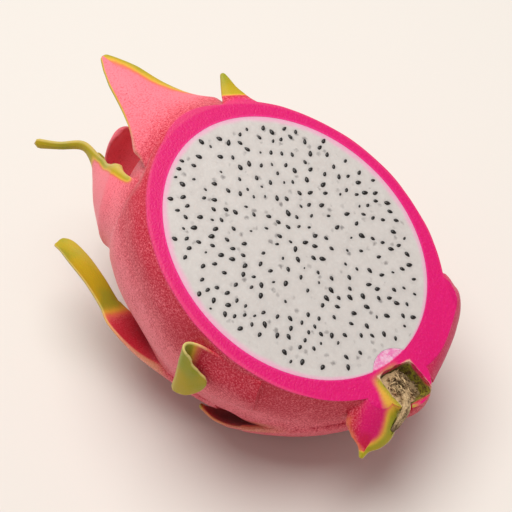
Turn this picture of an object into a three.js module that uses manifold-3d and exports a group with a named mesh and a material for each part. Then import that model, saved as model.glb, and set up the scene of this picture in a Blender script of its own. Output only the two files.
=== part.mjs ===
// Half a white-fleshed dragon fruit, lying on its skin with the cut face up: one rind with its bracts,
// the flesh with its seeds, and the woody scar of the stalk.
// Millimetres, +Z up. The origin is the middle of the small flat spot that the fruit rests on. The stem
// end points to +X, the crown to -X, and the fruit's axis rises a little toward the crown.
import * as THREE from "three";
import { mergeVertices } from "three/addons/utils/BufferGeometryUtils.js";
import Module from "manifold-3d";

const wasm = await Module();
wasm.setup();
const radians = THREE.MathUtils.degToRad;

// The whole fruit without its bracts, in its own frame: x runs along its axis to the crown, z is up
const halfLength = 52.6;
const girth = 41.8;
const stemFullness = 0.025; // share by which the stem half is fatter than an even egg, and the crown half slimmer
const bodyCentre = new THREE.Vector3(-3.7, 0, 40.7);
const axisRise = radians(8.9);

// The knife's plane, which leans against the axis and passes just over the stalk
const cutHeight = 17.9;
const cutLean = radians(15.2);

// The rind, thicker at both ends, and the hairline that parts it from what it holds
const rindAtSide = 3.0;
const rindAtEnd = 6.3;
const gap = 0.3;

// Under the crown's bracts the body draws in to a skin this thick over the flesh, and its crown half is
// slimmer below the knife than a true egg
const drawnIn = { from: 31, to: 37, skin: 1.8, underCut: [-4.5, -1.5] };
const slimmer = { by: 1.0, to: 16, underCut: [-12, -4] };

// The stalk's pit, a scoop that the knife opened from above, and the woody tissue left in it
const pitMiddle = [-52.4, 4.6]; // along and to the side, on the knife's plane
const pitHalves = [7.8, 6.4]; // half diagonals of its four-cornered mouth
const pitTurn = radians(36);
const pitDepth = 7;
const pitFloorShare = 0.55; // of the mouth's size
const pitRise = 10; // how far the funnel goes on over the knife's plane
const diagonalClearance = 1.4; // a clearance square to the pit's walls, as one along its diagonals
const collarCentre = [-49.5, 4.2, 0];
const collarRadii = [9.6, 9.4, 9.2];
const heartCentre = [-50, 4.5, 4];
const heartRadii = [8.6, 7.6, 8];
const woodSink = 1.8; // how far the wood stays under the pit's mouth
const splinterCount = 9;
const splinterSize = { width: 0.8, height: 2.2, sunk: 0.4, lean: 0.8, spread: 0.55 };
const stemFace = [-0.55, 0.35, 0.76]; // which way the lobe and the tail by the stalk face
const tail = [
  [-52.5, 72, 5.2, 1.5, 1.5, 0],
  [-54.8, 72, 7.6, 1.4, 1.5, 0],
  [-56.8, 76, 10.2, 1.2, 1.4, 0],
  [-57.4, 87, 12.8, 0.9, 1.2, 0],
  [-57.2, 96, 15.6, 0.5, 0.9, 0],
];

// Seeds on the cut face
const seedCount = 268;
const seedLength = 1.95;
const seedWidth = 1.25;
const seedProud = 0.35;
const seedSunk = 0.6;
const seedOutline = [[-0.5, 0.16], [-0.5, -0.16], [0, -0.5], [0.5, 0], [0, 0.5]]; // shares of its length and width
const seedRidge = -0.08; // where its ridge is highest, as a share of its length
const seedSwing = 1.6; // how far a seed may turn from its ray, in radians from side to side
const seedSpacing = 2.45;
const seedlessMargin = 2.2;
const seedOfDraws = 20261;

// Facets
const skinSteps = { along: 28, around: 44 };
const cavitySteps = { along: 18, around: 32 };
const heartSteps = 20;
const bractStepsPerPoint = 2;
const bractStepsAcross = 6;
const bladeEdge = 0.8;

// Bracts. Each point of a spine is [along the axis, degrees round it from the top, distance from it,
// half width, thickness, curvature across as 1/radius in mm]. "face" points where the outer face looks
// at the root; without it that is straight away from the axis. "twist" is how far the blade has turned at
// its tip, in degrees. "hinge" is the line that a blade rolls back round.
const bracts = {
  crownTop: {
    spine: [
      [12, -4, 37.2, 18, 3, 0.026],
      [28, -4, 32.6, 26, 3.6, 0.03],
      [38, -4, 27.4, 19, 3.6, 0.034],
      [46, -5, 24, 13, 3.2, 0.036],
      [55, -6.5, 22.4, 8.6, 2.6, 0.03],
      [64, -7.5, 22.6, 5.8, 2.2, 0.015],
      [69, -7, 23.2, 3.4, 1.9, 0.01],
      [72.5, -6, 24, 0.9, 1.2, 0],
    ],
  },
  crownLeft: {
    spine: [
      [-2, 80, 37.4, 17, 3, 0.025],
      [14, 79, 35.6, 21, 3.2, 0.026],
      [28, 79, 31.7, 22.5, 3, 0.028],
      [40, 85, 24.6, 15.5, 3, 0.034],
      [50, 94, 19.7, 11.6, 2.8, 0.048],
      [57, 102, 14.2, 7, 2.4, 0.07],
      [62, 111, 10.8, 3.2, 2, 0.08],
      [68.5, 116, 9.6, 1.7, 1.6, 0.1],
      [75, 118, 14.2, 1.3, 1.4, 0.1],
      [82, 119, 18.6, 1.9, 1.5, 0.2],
    ],
  },
  crownInner: {
    spine: [
      [38, -150, 26, 12, 3, 0.03],
      [48, -152, 21, 13, 3, 0.04],
      [58, -156, 14, 12, 2.8, 0.05],
      [63, -172, 6, 9, 2.4, 0.06],
      [61, 20, 4, 2.4, 1.8, 0.07],
    ],
  },
  crownFar: {
    spine: [
      [16, -108, 36, 16, 3, 0.025],
      [32, -109, 32.8, 15, 3.4, 0.03],
      [46, -110, 26, 10, 2.8, 0.03],
      [57, -111, 22.5, 5.5, 2.2, 0.02],
      [67, -112, 23.5, 1, 1.2, 0],
    ],
  },
  crownUnder: {
    spine: [
      [20, 172, 35, 15, 3, 0.025],
      [36, 172, 31, 14, 3.2, 0.03],
      [50, 172, 25, 9.5, 2.6, 0.03],
      [61, 171, 20.5, 5, 2, 0.02],
      [70, 170, 14, 1.2, 1.2, 0],
    ],
  },
  leftLow: {
    twist: 50,
    spine: [
      [-14, 127, 39, 10, 3, 0.02],
      [2, 126, 41.6, 10, 3.4, 0.02],
      [14, 124.5, 42.6, 8, 3, 0.02],
      [25, 123.5, 41.8, 6, 2.4, 0.04],
      [30, 123.5, 40.6, 4.2, 2.2, 0.08],
      [38, 123.5, 38.5, 3.8, 2, 0.14],
      [47, 123.5, 36.9, 3.8, 1.8, 0.18],
      [53, 124, 36.2, 3.2, 1.6, 0.22],
      [56.5, 124.5, 36.8, 1.7, 1.5, 0.3],
    ],
  },
  curl: {
    hinge: [0, 0.139, -0.99],
    spine: [
      [-27, 83, 36.3, 6, 3, 0.024],
      [-18, 83, 39.4, 7.5, 2.6, 0.024],
      [-12.5, 83, 41.6, 8.6, 2, 0.02],
      [-9, 82.7, 43.8, 9.6, 1.6, 0.012],
      [-7.9, 82.6, 45.4, 9.9, 1.5, 0.008],
      [-9, 82.8, 46.7, 9.2, 1.4, 0],
      [-11.6, 83, 46.4, 7.4, 1.3, 0],
      [-14, 82.6, 45.1, 4.8, 1.2, 0],
      [-15.8, 81.8, 43.7, 1.4, 1, 0],
    ],
  },
  bottom: {
    spine: [
      [-48, 136, 16, 8, 3, 0.02],
      [-38, 135.5, 28.5, 13, 3.2, 0.02],
      [-28, 135, 37.6, 14, 2.4, 0.02],
      [-20, 133, 42.6, 11, 1.8, 0.02],
      [-13, 130.5, 44.8, 5.5, 1.4, 0.015],
      [-8.8, 128.5, 45, 1.2, 1, 0],
    ],
  },
  topSmall: {
    face: [-0.26, 0, 0.97],
    spine: [
      [22, -24, 28, 12, 3, 0],
      [29, -29.5, 31, 8.5, 2.6, 0],
      [33.5, -33, 31.6, 4.6, 2.2, 0],
      [38, -35.5, 32.6, 2.6, 1.8, 0],
      [43, -37, 34.8, 0.6, 1.1, 0],
    ],
  },
  stemLobe: {
    face: stemFace,
    spine: [
      [-42.5, 64, 8.5, 6, 6, 0],
      [-48.8, 75, 13.2, 6.2, 6, 0.02],
      [-51.6, 86, 16.6, 6.8, 4.6, 0.03],
      [-53.6, 93.5, 19.6, 6.5, 3.2, 0.04],
      [-54.6, 97.5, 22, 4.4, 2.4, 0.04],
      [-55.2, 99.5, 23.8, 1.7, 1.8, 0.04],
      [-56, 101.5, 26, 0.5, 1.2, 0],
    ],
  },
  rightCorner: {
    spine: [
      [-53.2, -60, 3, 4.5, 3.6, 0.02],
      [-50.2, -73, 11.6, 5.4, 4.4, 0.02],
      [-46.7, -77.5, 19.8, 5.8, 4.8, 0.01],
      [-43.8, -78.3, 25, 5.6, 4.6, 0],
      [-40.8, -77.5, 27.2, 4.2, 3.6, 0],
      [-37.5, -77, 29, 2, 2, 0],
    ],
  },
  farSide: {
    spine: [
      [-12, -112, 38.6, 12, 3, 0.02],
      [4, -112, 41, 12, 3.4, 0.02],
      [18, -112, 41.4, 8.5, 2.4, 0.01],
      [30, -113, 43, 4.5, 1.8, 0],
      [40, -114, 47, 1.1, 1.1, 0],
    ],
  },
  farLow: {
    spine: [
      [-40, -140, 24, 9, 3, 0.02],
      [-27, -141, 35.2, 11, 3.2, 0.02],
      [-14, -142, 41, 7.5, 2.2, 0.01],
      [-3, -142, 43.6, 1.2, 1.2, 0],
    ],
  },
};

// Turns [along, degrees round, distance] into a point of the fruit's own frame.
function aroundAxis(along, turn, distance) {
  const angle = radians(turn);
  return new THREE.Vector3(along, distance * Math.sin(angle), distance * Math.cos(angle));
}

// The girth of the fruit, or of a smaller one inside it, at a place along its axis.
function girthAt(along, length, radius) {
  const share = along / length;
  return radius * Math.sqrt(Math.max(0, 1 - share * share)) * (1 - stemFullness * share);
}

function solidFrom(geometry) {
  const bare = geometry.clone();
  bare.deleteAttribute("normal");
  bare.deleteAttribute("uv");
  const merged = mergeVertices(bare, 1e-4);
  return new wasm.Manifold(
    new wasm.Mesh({
      numProp: 3,
      vertProperties: merged.attributes.position.array,
      triVerts: new Uint32Array(merged.index.array),
    }),
  );
}

function geometryFrom(solid) {
  const mesh = solid.getMesh();
  const geometry = new THREE.BufferGeometry();
  geometry.setAttribute("position", new THREE.BufferAttribute(mesh.vertProperties, 3));
  geometry.setIndex(new THREE.BufferAttribute(mesh.triVerts, 1));
  return geometry;
}

// The solid's main body: hollows that joining sealed are filled and loose scraps are dropped.
function mainBody(solid) {
  return solid.decompose().reduce((largest, body) => (body.volume() > largest.volume() ? body : largest));
}

// An egg on the fruit's axis, turned from a half profile. A shaping, if given, moves each of its points.
function egg(length, radius, steps, shaping) {
  const profile = [];
  for (let i = 0; i <= steps.along; i++) {
    const along = -length * Math.cos((Math.PI * i) / steps.along);
    const atPole = i === 0 || i === steps.along;
    profile.push(new THREE.Vector2(atPole ? 0 : girthAt(along, length, radius), along));
  }
  const turned = new THREE.LatheGeometry(profile, steps.around);
  turned.rotateZ(-Math.PI / 2);
  const points = turned.attributes.position;
  for (let i = 0; shaping && i < points.count; i++) {
    const moved = shaping(new THREE.Vector3().fromBufferAttribute(points, i));
    points.setXYZ(i, moved.x, moved.y, moved.z);
  }
  return solidFrom(turned);
}

function overCut(point) {
  return point.z * Math.cos(cutLean) - point.x * Math.sin(cutLean) - cutHeight;
}

// Lowers a point of the body's crown half, away from the knife, so that the bracts there stand round a hollow.
function drawIn(point) {
  const { smoothstep } = THREE.MathUtils;
  const reach = Math.hypot(point.y, point.z);
  const innerLength = halfLength - rindAtEnd + drawnIn.skin;
  const inner = girthAt(point.x, innerLength, girth - rindAtSide + drawnIn.skin);
  const clear = ([low, high]) => 1 - smoothstep(overCut(point), low, high);
  const amount = smoothstep(point.x, drawnIn.from, drawnIn.to) * clear(drawnIn.underCut);
  const slim = slimmer.by * smoothstep(point.x, 0, slimmer.to) * clear(slimmer.underCut);
  const wanted = reach - Math.min(reach, Math.max(amount * (reach - inner), slim));
  const share = reach > 0 ? wanted / reach : 0;
  return new THREE.Vector3(point.x - amount * Math.max(point.x - innerLength, 0), point.y * share, point.z * share);
}

// A value between the rows of a spine, eased so that it has no corner at a row.
function between(rows, column, t) {
  const place = t * (rows.length - 1);
  const row = Math.min(Math.floor(place), rows.length - 2);
  const share = THREE.MathUtils.smoothstep(place - row, 0, 1);
  return THREE.MathUtils.lerp(rows[row][column], rows[row + 1][column], share);
}

// One bract: a closed blade swept along its spine, thick in the middle and thin at its edges.
function bract({ spine, face, twist = 0, hinge }) {
  const curve = new THREE.CatmullRomCurve3(spine.map(([along, turn, distance]) => aroundAxis(along, turn, distance)));
  const rings = (spine.length - 1) * bractStepsPerPoint;
  const outer = face ? new THREE.Vector3(...face) : aroundAxis(0, spine[0][1], 1);
  const vertices = [];
  for (let i = 0; i <= rings; i++) {
    const t = i / rings;
    const middle = curve.getPoint(t);
    const forward = curve.getTangent(t);
    outer.addScaledVector(forward, -outer.dot(forward)).normalize();
    const facing = outer.clone().applyAxisAngle(forward, -radians(twist) * t);
    if (hinge) facing.crossVectors(forward, new THREE.Vector3(...hinge)).normalize();
    const across = new THREE.Vector3().crossVectors(facing, forward);
    const halfWidth = between(spine, 3, t);
    const thickness = between(spine, 4, t);
    const curvature = between(spine, 5, t);
    for (const side of [1, -1]) {
      for (let j = 0; j <= bractStepsAcross; j++) {
        const share = side * (1 - (2 * j) / bractStepsAcross);
        const arc = share * halfWidth;
        const sideways = curvature ? Math.sin(arc * curvature) / curvature : arc;
        const drop = curvature ? (1 - Math.cos(arc * curvature)) / curvature : 0;
        const half = (bladeEdge + (thickness - bladeEdge) * (1 - share * share)) / 2;
        vertices.push(
          middle.clone().addScaledVector(across, sideways).addScaledVector(facing, side * half - drop),
        );
      }
    }
  }
  const ringSize = 2 * (bractStepsAcross + 1);
  const faces = [];
  for (let i = 0; i < rings; i++) {
    for (let j = 0; j < ringSize; j++) {
      const a = i * ringSize + j;
      const b = i * ringSize + ((j + 1) % ringSize);
      faces.push(a, b, a + ringSize, b, b + ringSize, a + ringSize);
    }
  }
  for (const [start, atTip] of [[0, false], [rings * ringSize, true]]) {
    for (let j = 0; j < bractStepsAcross; j++) {
      const [a, b] = [start + j, start + j + 1];
      const [c, d] = [start + ringSize - 2 - j, start + ringSize - 1 - j];
      faces.push(...(atTip ? [a, b, d, b, c, d] : [a, d, b, b, d, c]));
    }
  }
  const geometry = new THREE.BufferGeometry().setFromPoints(vertices);
  geometry.setIndex(faces);
  return solidFrom(geometry);
}

// A scoop: a sphere stretched to three radii.
function scoop(centre, radii, segments) {
  const ball = new THREE.SphereGeometry(1, segments, segments / 2);
  ball.scale(...radii);
  ball.translate(...centre);
  return solidFrom(ball);
}

// The stalk's pit: a four-sided funnel sunk into the knife's plane, smaller by the given clearance.
function pit(clearance, sink = 0) {
  const slope = (1 - pitFloorShare) / pitDepth;
  const [first, second] = pitHalves.map((half) => half - diagonalClearance * clearance);
  const funnel = new THREE.CylinderGeometry(1 + slope * pitRise, pitFloorShare, pitDepth + pitRise, 4);
  funnel.rotateX(Math.PI / 2);
  funnel.translate(0, 0, (pitRise - pitDepth) / 2 + clearance);
  funnel.scale(first, second, 1);
  funnel.rotateZ(pitTurn);
  funnel.rotateY(-cutLean);
  const [along, side] = pitMiddle;
  funnel.translate(along, side, (cutHeight + along * Math.sin(cutLean)) / Math.cos(cutLean));
  const hollow = solidFrom(funnel);
  return sink ? hollow.subtract(overTheCut(sink)) : hollow;
}

// Everything past the knife's plane, and everything under the surface that the fruit rests on.
const far = 200;
function overTheCut(below = 0) {
  const block = new THREE.BoxGeometry(2 * far, 2 * far, far);
  block.translate(0, 0, far / 2 + cutHeight - below);
  block.rotateY(-cutLean);
  return solidFrom(block);
}

const fruit = new THREE.Group();
fruit.position.copy(bodyCentre);
fruit.rotation.set(0, axisRise, Math.PI, "YXZ");
fruit.updateMatrixWorld(true);

function underTheFloor() {
  const block = new THREE.BoxGeometry(2 * far, 2 * far, far);
  block.translate(0, 0, -far / 2);
  block.applyMatrix4(fruit.matrixWorld.clone().invert());
  return solidFrom(block);
}

function rind() {
  let body = egg(halfLength, girth, skinSteps, drawIn);
  for (const shape of Object.values(bracts)) body = body.add(bract(shape));
  const cavity = egg(halfLength - rindAtEnd + gap, girth - rindAtSide + gap, cavitySteps);
  const heart = scoop(heartCentre, heartRadii, heartSteps);
  const collar = scoop(collarCentre, collarRadii, heartSteps);
  const trimmed = body.add(collar).subtract(overTheCut()).subtract(underTheFloor());
  const hollowed = mainBody(trimmed).subtract(cavity.subtract(heart));
  return mainBody(hollowed.subtract(pit(0)).subtract(frayedTail(gap)));
}

// Repeatable draws between 0 and 1.
function draws(state) {
  return () => {
    state = (state + 0x6d2b79f5) | 0;
    let mixed = Math.imul(state ^ (state >>> 15), 1 | state);
    mixed = (mixed + Math.imul(mixed ^ (mixed >>> 7), 61 | mixed)) ^ mixed;
    return ((mixed ^ (mixed >>> 14)) >>> 0) / 4294967296;
  };
}

// The flesh's cut face is an ellipse: its middle and its two half axes, worked out from the plane.
function cutFace() {
  const length = halfLength - rindAtEnd;
  const radius = girth - rindAtSide;
  const reach = (length * Math.sin(cutLean)) ** 2 + (radius * Math.cos(cutLean)) ** 2;
  return {
    middle: new THREE.Vector3(
      (-cutHeight * length ** 2 * Math.sin(cutLean)) / reach,
      0,
      (cutHeight * radius ** 2 * Math.cos(cutLean)) / reach,
    ),
    lengthways: (length * radius * Math.sqrt(reach - cutHeight ** 2)) / reach,
    sideways: radius * Math.sqrt(1 - cutHeight ** 2 / reach),
  };
}

// A seed: five-sided, pointed at one end, with its ridge just proud of the cut face.
function seed() {
  const points = seedOutline.map(([x, y]) => new THREE.Vector3(x * seedLength, y * seedWidth, -seedSunk));
  points.push(...points.map((point) => point.clone().setZ(0)));
  points.push(new THREE.Vector3(seedRidge * seedLength, 0, seedProud));
  points.push(new THREE.Vector3(0, 0, -seedSunk));
  const faces = [];
  for (let i = 0; i < 5; i++) {
    const next = (i + 1) % 5;
    faces.push(i, next, i + 5, next, next + 5, i + 5, i + 5, next + 5, 10, next, i, 11);
  }
  const geometry = new THREE.BufferGeometry().setFromPoints(points);
  geometry.setIndex(faces);
  return geometry;
}

// Seeds scattered over the cut face no closer than their spacing, each lying roughly on a ray from its middle.
function seeds() {
  const face = cutFace();
  const random = draws(seedOfDraws);
  const tilt = new THREE.Matrix4().makeRotationY(-cutLean).setPosition(face.middle);
  const heart = new THREE.Vector3(...heartCentre);
  const heartReach = new THREE.Vector3(...heartRadii).addScalar(seedlessMargin);
  const placed = [];
  const solids = [];
  while (placed.length < seedCount) {
    const reach = Math.sqrt(random());
    const turn = random() * 2 * Math.PI;
    const swing = (random() - 0.5) * seedSwing;
    const x = reach * Math.cos(turn) * (face.lengthways - seedlessMargin);
    const y = reach * Math.sin(turn) * (face.sideways - seedlessMargin);
    const fromHeart = new THREE.Vector3(x, y, 0).applyMatrix4(tilt).sub(heart).divide(heartReach);
    if (fromHeart.length() < 1) continue;
    if (placed.some((other) => Math.hypot(other[0] - x, other[1] - y) < seedSpacing)) continue;
    placed.push([x, y]);
    const one = seed();
    one.rotateZ(Math.atan2(y, x) + swing);
    one.translate(x, y, 0);
    one.applyMatrix4(tilt);
    solids.push(solidFrom(one));
  }
  return wasm.Manifold.union(solids);
}

function flesh() {
  const whole = egg(halfLength - rindAtEnd, girth - rindAtSide, cavitySteps);
  const heart = scoop(heartCentre, heartRadii.map((radius) => radius + gap), heartSteps);
  return mainBody(whole.subtract(heart).subtract(overTheCut()).add(seeds()));
}

// The stalk's tail of torn fibre that hangs out of the pit, thicker by the given clearance.
function frayedTail(clearance) {
  const spine = tail.map(([along, turn, distance, half, thickness]) => [
    along, turn, distance, half + clearance, thickness + 2 * clearance, 0,
  ]);
  return bract({ spine, face: stemFace });
}

// The woody tissue: it fills the pit's floor, stands up in splinters, and hangs out in its tail.
function stemScar() {
  const random = draws(seedOfDraws + 1);
  let wood = pit(gap, woodSink).add(frayedTail(0));
  const [along, side] = pitMiddle;
  for (let i = 0; i < splinterCount; i++) {
    const splinter = new THREE.ConeGeometry(splinterSize.width, 2 * splinterSize.height, 5);
    splinter.rotateX(Math.PI / 2 + (random() - 0.5) * splinterSize.lean);
    const reach = splinterSize.spread * Math.sqrt(random());
    const turn = 2 * Math.PI * random();
    const [x, y] = [reach * pitHalves[0] * Math.cos(turn), reach * pitHalves[1] * Math.sin(turn)];
    splinter.translate(x, y, -woodSink - splinterSize.sunk);
    splinter.rotateZ(pitTurn);
    splinter.rotateY(-cutLean);
    splinter.translate(along, side, (cutHeight + along * Math.sin(cutLean)) / Math.cos(cutLean));
    wood = wood.add(solidFrom(splinter));
  }
  return mainBody(wood.subtract(overTheCut()));
}

function part(name, solid, colour, roughness) {
  const material = new THREE.MeshStandardMaterial({ color: colour, roughness, metalness: 0 });
  const mesh = new THREE.Mesh(geometryFrom(solid), material);
  mesh.name = name;
  return mesh;
}

fruit.add(part("rind", rind(), 0xe0486e, 0.55));
fruit.add(part("flesh", flesh(), 0xdedad7, 0.35));
fruit.add(part("stem_scar", stemScar(), 0x9a8460, 0.9));

export default new THREE.Group().add(fruit);
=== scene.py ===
"""Half a dragon fruit on a pale floor: its rind with the bracts, flesh, seeds and woody stalk scar.

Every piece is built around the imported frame, in metres, with +Z up and the origin in the middle of the flat
spot that the fruit rests on. Sizes are worked out in the fruit's own frame, in millimetres: x runs along its
axis from the stem end to the crown, z is up, and a point on the skin is given as [along the axis, degrees
round it from the top, distance from it].
"""
import math
import random

import bmesh
import bpy
import numpy as np
from bpy.props import FloatProperty, FloatVectorProperty, IntProperty, PointerProperty
from mathutils import Matrix, Vector, bvhtree, kdtree, noise


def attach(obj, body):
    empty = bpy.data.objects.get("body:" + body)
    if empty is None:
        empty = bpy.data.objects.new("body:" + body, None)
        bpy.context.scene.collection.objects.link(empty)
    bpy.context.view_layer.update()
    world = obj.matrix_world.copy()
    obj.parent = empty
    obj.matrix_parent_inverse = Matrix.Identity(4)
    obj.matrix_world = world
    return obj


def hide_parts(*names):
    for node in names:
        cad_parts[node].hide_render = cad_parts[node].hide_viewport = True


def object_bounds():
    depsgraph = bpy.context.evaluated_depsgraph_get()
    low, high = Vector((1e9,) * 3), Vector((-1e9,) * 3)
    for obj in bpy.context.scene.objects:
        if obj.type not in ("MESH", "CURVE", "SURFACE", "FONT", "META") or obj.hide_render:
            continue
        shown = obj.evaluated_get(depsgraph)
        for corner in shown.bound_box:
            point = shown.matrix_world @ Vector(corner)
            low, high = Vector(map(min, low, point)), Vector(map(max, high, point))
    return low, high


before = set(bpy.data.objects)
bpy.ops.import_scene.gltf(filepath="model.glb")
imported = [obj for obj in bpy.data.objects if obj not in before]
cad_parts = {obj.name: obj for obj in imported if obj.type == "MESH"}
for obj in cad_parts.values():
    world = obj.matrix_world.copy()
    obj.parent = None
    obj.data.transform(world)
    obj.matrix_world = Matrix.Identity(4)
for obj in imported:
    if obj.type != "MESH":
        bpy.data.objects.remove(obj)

bl_info = {
    "name": "Halved Dragon Fruit",
    "version": (1, 0, 0),
    "blender": (4, 5, 0),
    "location": "3D View > Sidebar > Fruit",
    "description": "Builds half a dragon fruit with its skin, flesh, seeds and stalk scar",
    "category": "Object",
}

MM = 0.001
CAD_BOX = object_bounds()

# The fruit's place in the frame: its middle, and how its axis and its knife plane lean
BODY_CENTRE = np.array([-3.7, 0.0, 40.7])
AXIS_RISE = math.radians(8.9)
TO_CROWN = np.array([-math.cos(AXIS_RISE), 0.0, math.sin(AXIS_RISE)])
TO_VIEWER = np.array([0.0, -1.0, 0.0])
TO_TOP = np.array([math.sin(AXIS_RISE), 0.0, math.cos(AXIS_RISE)])
FRUIT_AXES = np.array([TO_CROWN, TO_VIEWER, TO_TOP])

STEM_FULLNESS = 0.025

# Under the crown's bracts the body draws in, to a skin this thick over the flesh
RECESS_FROM = 31.0
RECESS_TO = 37.0
RECESS_SKIN = 1.8
RECESS_UNDER_CUT = (-4.5, -1.5)

# Its crown half is slimmer below the knife than a true egg
SLIMMER_BY = 1.0
SLIMMER_TO = 16.0
SLIMMER_UNDER_CUT = (-12.0, -4.0)

# The stalk's pit and the tissue round it
PIT_MIDDLE = (-52.4, 4.6)
PIT_HALVES = (7.8, 6.4)
PIT_TURN = math.radians(36)
PIT_DEPTH = 7.0
PIT_FLOOR_SHARE = 0.55
COLLAR_CENTRE = (-49.5, 4.2, 0.0)
COLLAR_RADII = (9.6, 9.4, 9.2)
HEART_CENTRE = (-50.0, 4.5, 4.0)
HEART_RADII = (8.6, 7.6, 8.0)
WOOD_SINK = 1.8
WOOD_GAP = 0.3
TAIL = [
    [-52.5, 72, 5.2, 1.5, 1.5, 0],
    [-54.8, 72, 7.6, 1.4, 1.5, 0],
    [-56.8, 76, 10.2, 1.2, 1.4, 0],
    [-57.4, 87, 12.8, 0.9, 1.2, 0],
    [-57.2, 96, 15.6, 0.5, 0.9, 0],
]
TAIL_ROOM = 0.5
STEM_FACE = (-0.55, 0.35, 0.76)

# Seeds on the cut face, by the same rule and draws as the solids'
SEED_LENGTH = 1.95
SEED_WIDTH = 1.25
SEED_HEIGHT = 0.95
SEED_PROUD = 0.35
SEED_SPACING = 2.45
SEEDLESS_MARGIN = 2.2
SEED_SWING = 1.6
SEED_OF_DRAWS = 20261

# Bracts: each row of a spine is [along, degrees round, distance, half width, thickness, curvature across].
# "face" points where the outer face looks at the root, "twist" is the turn of the tip in degrees, and
# "across" is the hinge that a blade rolls back round.
# "green" is where along the spine the skin starts to turn yellow-green and where it is fully so.
# "margins" has, for the two edges, how many mm wide their band is and how far its colour goes toward green.
# "margin_from" is where along the spine the bands start, "deep" how red the inner face is, and "dry" how pale
# its two thin edges are. "hugs" is how many mm under the skin a blade still colours it.
ALL_PINK = {
    "green": (1.2, 1.4), "margins": ((0.3, 0.2), (0.3, 0.2)), "margin_from": 0.9,
    "deep": 0.0, "dry": (0.0, 0.0),
}
HIDDEN_AT_CROWN = {
    "margins": ((2.0, 0.7), (2.0, 0.7)), "margin_from": 0.4, "deep": 0.0, "dry": (0.6, 0.6),
}
HIDDEN_ON_BODY = {
    "margins": ((1.5, 0.7), (1.5, 0.7)), "margin_from": 0.3, "deep": 0.8, "dry": (0.6, 0.6),
}
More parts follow.
